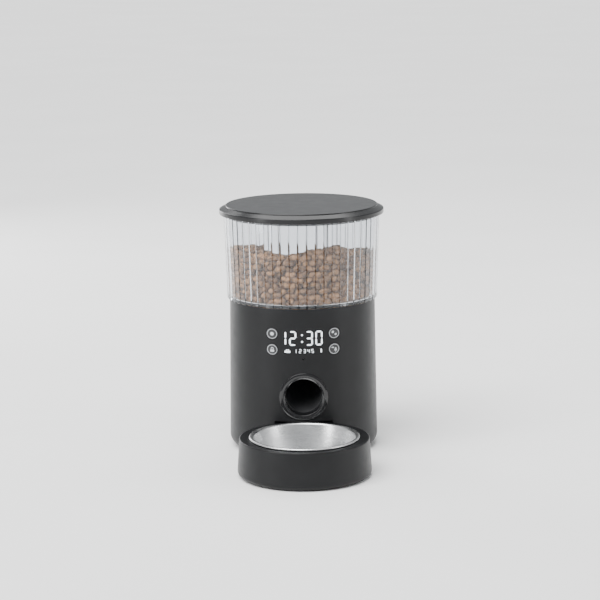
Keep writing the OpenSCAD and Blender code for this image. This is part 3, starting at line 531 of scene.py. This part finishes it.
outside = roundedPath([
    beyond, (neck + 0.0004, beadZ - 0.0006, 0.0006), (0.0472, 0.0137, 0.010),
    (0.0422, bowl["floor"], 0.006), (0, bowl["floor"], 0),
], steps=10)
outside = outside[outside[:, 0] < beadR - bowl["bead"] - 0.0002]
bowlPath = np.concatenate([inside, beadArc, outside])
bowlPiece = makePiece("steelBowl", [(revolve(bowlPath, bowlY, evenTurn(bowl["columns"])), True, True)],
                      materials["bowl_steel"], "bowl", sharp=50)
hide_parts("bowl")

# Outlet ring: a round flange whose back follows the body, over a flared bore
ringLow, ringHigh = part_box("outlet_ring")
outlet = dict(columns=128, z=(ringLow[2] + ringHigh[2]) / 2, bore=0.020, flange=0.0262, spigot=0.0228,
              front=0.0822, lipInner=0.0219, lipOuter=0.0243, under=0.0700, back=0.068, crown=0.0008)
ringEdge = outlet["front"] - outlet["crown"]
ringPath = roundedPath([
    (outlet["bore"], -outlet["back"], 0), (outlet["bore"], -ringEdge, 0.0004),
    (outlet["lipInner"], -outlet["front"], 0.0024), (outlet["lipOuter"], -outlet["front"], 0.0024),
    (outlet["flange"], -ringEdge, 0.0004), (outlet["flange"], -outlet["under"], 0),
    (outlet["spigot"], -outlet["under"], 0), (outlet["spigot"], -outlet["back"], 0),
], steps=8)
ringTurn = evenTurn(outlet["columns"])[:, None]
ringGrid = np.empty((outlet["columns"], len(ringPath), 3))
ringGrid[..., 0] = ringPath[None, :, 0] * np.sin(ringTurn)
ringGrid[..., 2] = outlet["z"] + ringPath[None, :, 0] * np.cos(ringTurn)
onShell = np.isclose(ringPath[:, 1], -outlet["under"])[None, :]     # the flange's back lies on the body
ringGrid[..., 1] = np.where(onShell, shellFront(ringGrid[..., 0], ringGrid[..., 2], 0.00003),
                            bodyY + ringPath[None, :, 1])
ringPiece = makePiece("outletRing", [(ringGrid, True, True)], materials["gloss_trim"], "body")
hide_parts("outlet_ring")

# Keys: caps that stand just proud of the body and follow its curve
keys = dict(columns=64, radius=0.00575, proud=0.0005, round=0.0005, back=0.0689, flatRings=5,
            ringInner=0.00485, ringOuter=0.00528)
keyPlaces = {}
for name in ("key_clock", "key_lock", "key_feed", "key_record"):
    low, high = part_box(name)
    keyPlaces[name] = ((low[0] + high[0]) / 2, (low[2] + high[2]) / 2)


def keyCap(x, z):
    # rings from the middle of the face out, over a rounded edge, down the side and across the back
    bend = np.linspace(0, math.pi / 2, 6)
    flat = keys["radius"] - keys["round"]
    reach = np.concatenate([np.linspace(0, flat - 0.0003, keys["flatRings"]),
                            flat + keys["round"] * np.sin(bend), [keys["radius"], 0]])
    drop = np.concatenate([np.zeros(keys["flatRings"]), keys["round"] * (1 - np.cos(bend)), [0, 0]])
    turn = evenTurn(keys["columns"])[:, None]
    grid = np.empty((keys["columns"], len(reach), 3))
    grid[..., 0] = x + reach * np.sin(turn)
    grid[..., 2] = z + reach * np.cos(turn)
    grid[..., 1] = shellFront(grid[..., 0], grid[..., 2], keys["proud"]) + drop
    grid[:, -2:, 1] = bodyY - keys["back"]
    return grid


def stroke(a, b, radius, columns=24):
    # a bar with round ends from a to b, flat, as (across, up) rings from its spine out
    a, b = np.array(a, dtype=float), np.array(b, dtype=float)
    turn = math.atan2(b[1] - a[1], b[0] - a[0]) - math.pi / 2 + evenTurn(columns)
    # half the ring goes round each end
    spine = np.where((np.arange(columns) <= columns // 2)[:, None, None], b, a)
    ray = np.stack([np.cos(turn), np.sin(turn)], -1)[:, None, :]
    return spine + ray * (radius * np.array([0.0, 0.5, 1.0]))[None, :, None]


def circleLine(inner, outer, columns=48):
    # a flat ring as (across, up) rows
    turn = evenTurn(columns)
    ray = np.stack([np.cos(turn), np.sin(turn)], -1)[:, None, :]
    return ray * np.array([inner, (inner + outer) / 2, outer])[None, :, None]


def layOnShell(shapes, x, z, proud, thick=0.00008, sunk=0.00002):
    # wraps flat shapes on to the curved front, as thin closed plates whose backs are sunk a little
    plates = []
    for shape in shapes:
        px, pz = x + shape[..., 0], z + shape[..., 1]
        face = np.stack([px, shellFront(px, pz, proud + thick), pz], -1)
        under = np.stack([px, shellFront(px, pz, proud - sunk), pz], -1)[:, ::-1]
        plates.append((np.concatenate([face, under], 1), True, True))
    return plates


mm = 0.001


def strokes(rows):
    # one stroke for each row of two ends and a radius, in millimetres
    return [stroke(np.array(a) * mm, np.array(b) * mm, radius * mm) for a, b, radius in rows]


icons = dict(
    key_clock=[((0, 0), (0, 0), 1.9)],
    # a padlock: two rows for its body, five for its shackle
    key_lock=[((-1.1, -1.0), (1.1, -1.0), 1.0), ((-1.2, -1.5), (1.2, -1.5), 0.9),
              ((-1.2, 0.0), (-1.2, 1.2), 0.36), ((1.2, 0.0), (1.2, 1.2), 0.36),
              ((-1.2, 1.2), (-0.6, 2.1), 0.36), ((1.2, 1.2), (0.6, 2.1), 0.36),
              ((-0.6, 2.1), (0.6, 2.1), 0.36)],
    key_feed=[((-1.5, 1.2), (-1.2, 1.4), 1.15), ((1.5, -1.4), (1.7, -1.2), 1.0)],
    # a bar, and a microphone on its stand
    key_record=[((-2.4, 1.7), (-0.7, 1.6), 0.5), ((1.5, 0.6), (1.5, -0.7), 0.8),
                ((0.2, -0.7), (0.7, -1.9), 0.22), ((0.7, -1.9), (2.3, -1.9), 0.22),
                ((2.3, -1.9), (2.8, -0.7), 0.22), ((1.5, -2.0), (1.5, -3.0), 0.25)],
)
for name, (x, z) in keyPlaces.items():
    cap = makePiece(name.replace("key_", "cap_"), [(keyCap(x, z), True, True)], materials["key_grey"], name)
    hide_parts(name)
    shapes = strokes(icons[name]) + [circleLine(keys["ringInner"], keys["ringOuter"])]
    # the icons' faint glow is painted light
    makePiece(name.replace("key_", "icon_"), layOnShell(shapes, x, z, keys["proud"]), materials["marks"],
              name, sharp=40)

# Small row under the clock: a bowl sign, the numbers 1 to 5 and a battery
smallRow = dict(z=0.1210, height=4.3, width=2.6, line=0.3, pull=0.14, places=(-8.6, -3.3, 1.5, 5.8, 10.0))
bars = dict(a=((-1, 2), (1, 2)), b=((1, 0), (1, 2)), c=((1, -2), (1, 0)), d=((-1, -2), (1, -2)),
            e=((-1, -2), (-1, 0)), f=((-1, 0), (-1, 2)), g=((-1, 0), (1, 0)))


def smallNumber(lit, x):
    # seven bars, each pulled in a little from its ends
    across = smallRow["width"] / 2 - smallRow["line"]
    up = smallRow["height"] / 4 - smallRow["line"] / 2
    shapes = []
    for key in lit:
        p, q = (np.array(bars[key]) * (across, up) + (x, 0)) * mm
        inset = (q - p) * smallRow["pull"]
        shapes.append(stroke(p + inset, q - inset, smallRow["line"] * mm, columns=12))
    return shapes


numberBars = ["bc", "abged", "abgcd", "fgbc", "afgcd"]
rowShapes = sum((smallNumber(lit, x) for lit, x in zip(numberBars, smallRow["places"])), [])
bowlSign = [((-19.2, -1.0), (-14.6, -1.0), 0.9), ((-19.6, 0.0), (-14.2, 0.0), 0.4),
            ((-18.0, 1.2), (-17.7, 1.2), 0.55), ((-16.2, 1.3), (-15.8, 1.3), 0.55)]
batterySign = [((19.3, -1.3), (19.3, 0.9), 0.8), ((19.1, 1.8), (19.5, 1.8), 0.35)]
makePiece("rowMarks", layOnShell(rowShapes + strokes(bowlSign + batterySign), 0, smallRow["z"], 0),
          materials["rowLight"], "body", sharp=40)
print("lid, hopper, stand, bowl, ring and keys made")

# Food: biscuits against the wall, over the heap's top and down the funnel, round a dark core that stands for
# the food further in; its darkness is painted shade for the gaps
food = dict(seed=7, size=0.0040, thick=0.0027, scale=(0.86, 1.06), wallGap=0.0044, pitch=0.0068,
            sink=0.0026, slope=0.18, frontRadius=0.082, turnJitter=0.022, inJitter=0.0012, upJitter=0.0014,
            funnelTop=0.1725, coreUnder=0.0085)
# height of the food against the front wall, from left to right
frontLine = dict(
    x=(-0.080, -0.070, -0.060, -0.050, -0.046, -0.040, -0.034, -0.026, -0.016, -0.008, 0,
       0.006, 0.016, 0.024, 0.034, 0.038, 0.044, 0.052, 0.060, 0.070, 0.080),
    z=(0.2280, 0.2315, 0.2335, 0.2355, 0.2335, 0.2305, 0.2280, 0.2262, 0.2256, 0.2272, 0.2282,
       0.2306, 0.2314, 0.2330, 0.2344, 0.2344, 0.2318, 0.2295, 0.2290, 0.2270, 0.2265),
)


def foodLevel(x, y):
    # the front line, falling steadily towards the back
    front = bodyY - np.sqrt(np.clip(food["frontRadius"] ** 2 - x**2, 0, None))
    return np.interp(x, frontLine["x"], frontLine["z"]) - food["sink"] - food["slope"] * (y - front)


def boreRadius(z):
    # inner radius of the hopper: a slight taper above the funnel, a steep one inside it
    upper = boreFoot + (z - hopper["boreFootZ"]) * hopper["taper"]
    funnel = (boreFoot - hopper["throatRadius"]) / (hopper["boreFootZ"] - hopper["throatTopZ"])
    lower = hopper["throatRadius"] + (z - hopper["throatTopZ"]) * funnel
    return np.where(z > hopper["boreFootZ"], upper, lower)


rng = np.random.default_rng(food["seed"])


def jitter(rows, amount):
    return rng.uniform(-amount, amount, rows)


def wallSpots(low, gap, shift):
    # staggered rows round the bore from low up to the food's level
    rows = np.arange(low, max(frontLine["z"]), food["pitch"] * 0.88)
    spots = []
    for i, z in enumerate(rows):
        radius = float(boreRadius(np.array(z))) - gap
        count = int(2 * math.pi * radius / food["pitch"])
        turn = (np.arange(count) + 0.5 * (i % 2) + shift) * 2 * math.pi / count
        turn = turn + jitter(count, food["turnJitter"])
        reach = radius - rng.uniform(0, food["inJitter"], count)
        high = z + jitter(count, food["upJitter"])
        spots.append(np.stack([reach * np.sin(turn), bodyY - reach * np.cos(turn), high], -1))
    return np.concatenate(spots)


heap = dict(reach=0.0716, depths=(0.0010, 0.0062), row=0.92, jitter=0.0013, upJitter=0.0012)


def topSpots(depth):
    # staggered rows across the heap, depth under its top
    side = np.arange(-0.08, 0.08, food["pitch"] * heap["row"])
    x, y = np.meshgrid(side, side)
    x = x + (np.arange(len(side)) % 2)[:, None] * food["pitch"] * heap["row"] / 2
    x, y = x.ravel() + jitter(x.size, heap["jitter"]), y.ravel() + jitter(x.size, heap["jitter"])
    keep = np.hypot(x, y) < heap["reach"]
    x, y = x[keep], y[keep] + bodyY
    return np.stack([x, y, foodLevel(x, y) - depth + jitter(len(x), heap["upJitter"])], -1)


biscuitSides, biscuitRings = 8, 5


def biscuit():
    # one biscuit: a pinched disc, rings of points between its two poles
    turn = evenTurn(biscuitSides)[:, None]
    reach = np.array([0.0, 0.62, 1.0, 0.62, 0.0])
    rise = np.array([0.72, 0.92, 0.0, -0.92, -0.72])
    wobble = 1 + 0.06 * np.sin(3 * turn)
    grid = np.empty((biscuitSides, biscuitRings, 3))
    grid[..., 0] = reach * np.cos(turn) * wobble * food["size"]
    grid[..., 1] = reach * np.sin(turn) * wobble * food["size"]
    grid[..., 2] = rise * food["thick"]
    return grid.reshape(-1, 3)


def turnMatrices(count):
    # random rotations from unit quaternions
    q = rng.normal(size=(count, 4))
    q /= np.linalg.norm(q, axis=1)[:, None]
    w, x, y, z = q.T
    return np.stack([1 - 2 * (y * y + z * z), 2 * (x * y - w * z), 2 * (x * z + w * y),
                     2 * (x * y + w * z), 1 - 2 * (x * x + z * z), 2 * (y * z - w * x),
                     2 * (x * z - w * y), 2 * (y * z + w * x), 1 - 2 * (x * x + y * y)], -1).reshape(-1, 3, 3)


def scatterBiscuits(name, spots):
    # copies of one biscuit, turned, scaled and tinted at random, in one mesh
    shape = biscuit()
    count = len(spots)
    size = rng.uniform(*food["scale"], (count, 1, 3))
    points = np.einsum("nij,nkj->nki", turnMatrices(count), shape[None] * size) + spots[:, None, :]
    tint = np.repeat(rng.uniform(0, 1, count), len(shape)).astype(np.float32)
    cells, _ = gridFaces(biscuitSides, biscuitRings, True, False)
    side = cells.reshape(biscuitSides, biscuitRings - 1, 4)
    offset = (np.arange(count) * len(shape))[:, None, None]
    quads = (side[:, 1:-1].reshape(1, -1, 4) + offset).reshape(-1, 4)
    # the cells at a pole share its first point, so they become triangles
    topCaps = np.stack([np.zeros(biscuitSides, int), side[:, 0, 2], side[:, 0, 3]], -1)
    lowCaps = np.stack([side[:, -1, 0], side[:, -1, 1], np.full(biscuitSides, biscuitRings - 1)], -1)
    caps = (np.concatenate([topCaps, lowCaps])[None] + offset).reshape(-1, 3)
    used, corners = np.unique(np.concatenate([quads.ravel(), caps.ravel()]), return_inverse=True)
    starts = np.concatenate([np.arange(len(quads)) * 4, quads.size + np.arange(len(caps)) * 3])
    mesh = newMesh(name, points.reshape(-1, 3)[used], corners, starts)
    setTint(mesh, tint[used])
    tidyMesh(mesh, merge=False)
    addPiece(mesh, materials["kibble"], "hopper")
    print(name, count, "biscuits")


def underTop(spots):
    # drops spots that would stand above the heap
    return spots[spots[:, 2] < foodLevel(spots[:, 0], spots[:, 1]) - 0.001]


# layers of biscuits round the wall: the lowest height, the gap from the wall, and a shift of the rows
layers = dict(outer=(0.1735, food["wallGap"], 0.0), inner=(0.1760, food["wallGap"] + 0.0052, 0.3),
              funnel=(0.1395, food["wallGap"] * 1.42, 0.2))
wallFood = np.concatenate([underTop(wallSpots(*layers["outer"])), underTop(wallSpots(*layers["inner"]))])
funnelFood = wallSpots(*layers["funnel"])
funnelFood = funnelFood[funnelFood[:, 2] < food["funnelTop"]]
heapFood = np.concatenate([topSpots(depth) for depth in heap["depths"]])
scatterBiscuits("foodWall", np.concatenate([wallFood, funnelFood]))
scatterBiscuits("foodHeap", heapFood)

# Core: radius and height of each ring, from the middle below, clear of the agitator, to the middle on top.
# A height of 0 stands for just under the food's level.
corePath = np.array([
    (0, 0.1535), (0.033, 0.1535), (0.0385, 0.1405), (0.0440, 0.1405), (0.0560, 0.1535), (0.0645, 0.1630),
    (0.0660, 0.1740), (0.0665, 0.1820), (0.0670, 0), (0.060, 0), (0.030, 0), (0, 0),
])
coreGrid = revolve(corePath, bodyY, evenTurn(96))
coreTop = foodLevel(coreGrid[..., 0], coreGrid[..., 1]) - food["coreUnder"]
coreGrid[..., 2] = np.where(corePath[:, 1] > 0, corePath[:, 1], coreTop)
# a tint of 0 everywhere gives the core the darkest biscuit colour: painted shade in the gaps between the
# biscuits
makePiece("foodCore", [(coreGrid, True, False)], materials["kibble"], "hopper",
          attribute=np.zeros(coreGrid[..., 0].size, dtype=np.float32))

# Carried-over nodes take the finish of their slot
slotOf = {row["node"]: row["material_slot"] for row in frame["record"]["subparts"]}
for node, piece in frame["nodes"].items():
    finish = materials[slotOf[node]]
    for place in piece.material_slots:
        place.material = finish
print("nodes finished")

# Floor
bpy.ops.mesh.primitive_circle_add(vertices=96, radius=16, fill_type="NGON", location=(0, 0, 0))
floor = bpy.context.object
floor.name = "floor"
floorFinish, floorTree, floorShader, floorPlace = newFinish("paleFloor")
floorTree.links.new(blendColours(floorTree, spread(floorTree, noiseField(floorTree, floorPlace, 3), 0, 1),
                                 (0.78, 0.78, 0.775), (0.81, 0.81, 0.805)), floorShader.inputs["Base Color"])
floorShader.inputs["Roughness"].default_value = 0.75
floor.data.materials.append(floorFinish)

# Room: how strongly it lights things, how bright the camera sees it, and a wide soft sun
room = dict(glow=0.60, seen=3.0, sun=6.2, sunSpread=50, sunTilt=30, sunTurn=-35)
world = bpy.data.worlds.new("softRoom")
bpy.context.scene.world = world
world.use_nodes = True
background = world.node_tree.nodes["Background"]
background.inputs["Color"].default_value = (0.96, 0.98, 1.0, 1)
brightness = addNode(world.node_tree, "ShaderNodeMapRange", {"To Min": room["glow"], "To Max": room["seen"]})
world.node_tree.links.new(addNode(world.node_tree, "ShaderNodeLightPath").outputs["Is Camera Ray"],
                          brightness.inputs["Value"])
world.node_tree.links.new(brightness.outputs["Result"], background.inputs["Strength"])

sunData = bpy.data.lights.new("softSun", "SUN")
sunData.energy, sunData.angle = room["sun"], math.radians(room["sunSpread"])
sunHolder = bpy.data.objects.new("softSun", sunData)
sunHolder.rotation_euler = (math.radians(room["sunTilt"]), 0, math.radians(room["sunTurn"]))
bpy.context.scene.collection.objects.link(sunHolder)

# Softboxes, all aimed at the body
lamps = dict(
    leftBox=dict(spot=(-1.5, -0.9, 0.75), size=(0.35, 1.5), power=16),
    rightBox=dict(spot=(1.6, -0.6, 0.7), size=(0.30, 1.5), power=12),
    topBox=dict(spot=(0.1, 0.9, 1.8), size=(1.5, 0.7), power=16),
    backBox=dict(spot=(-0.9, 1.5, 0.7), size=(0.4, 1.3), power=12),
)
target = np.array((0, bodyY - 0.03, 0.14))


def lookRotation(spot, at):
    # euler turn that points -Z from spot to at, with +Y up
    x, y, z = np.array(at) - np.array(spot)
    return (math.atan2(math.hypot(x, y), -z), 0, math.atan2(y, x) - math.pi / 2)


for name, lamp in lamps.items():
    light = bpy.data.lights.new(name, "AREA")
    light.shape = "RECTANGLE"
    light.size, light.size_y = lamp["size"]
    light.energy = lamp["power"]
    holder = bpy.data.objects.new(name, light)
    holder.location = lamp["spot"]
    holder.rotation_euler = lookRotation(lamp["spot"], target)
    bpy.context.scene.collection.objects.link(holder)

# Camera: distance from the body's axis, height and lens, and its small turn and roll
camera = dict(away=2.3764, height=0.6123, lens=131.6, tilt=11.01, turn=-0.2, roll=-0.65,
              shift=(-0.0042, 0.0172))
cameraData = bpy.data.cameras.new("viewCamera")
cameraData.lens = camera["lens"]
cameraData.sensor_width = 36
cameraData.shift_x, cameraData.shift_y = camera["shift"]
cameraData.clip_end = 60
cameraHolder = bpy.data.objects.new("viewCamera", cameraData)
turned = Matrix.Rotation(math.radians(camera["turn"]), 3, "Z")
cameraHolder.location = Vector((0, bodyY, camera["height"])) + turned @ Vector((0, -camera["away"], 0))
cameraHolder.rotation_euler = (turned @ Matrix.Rotation(math.radians(90 - camera["tilt"]), 3, "X")
                               @ Matrix.Rotation(math.radians(camera["roll"]), 3, "Z")).to_euler()
bpy.context.scene.collection.objects.link(cameraHolder)
bpy.context.scene.camera = cameraHolder
print("floor, lamps and camera made")
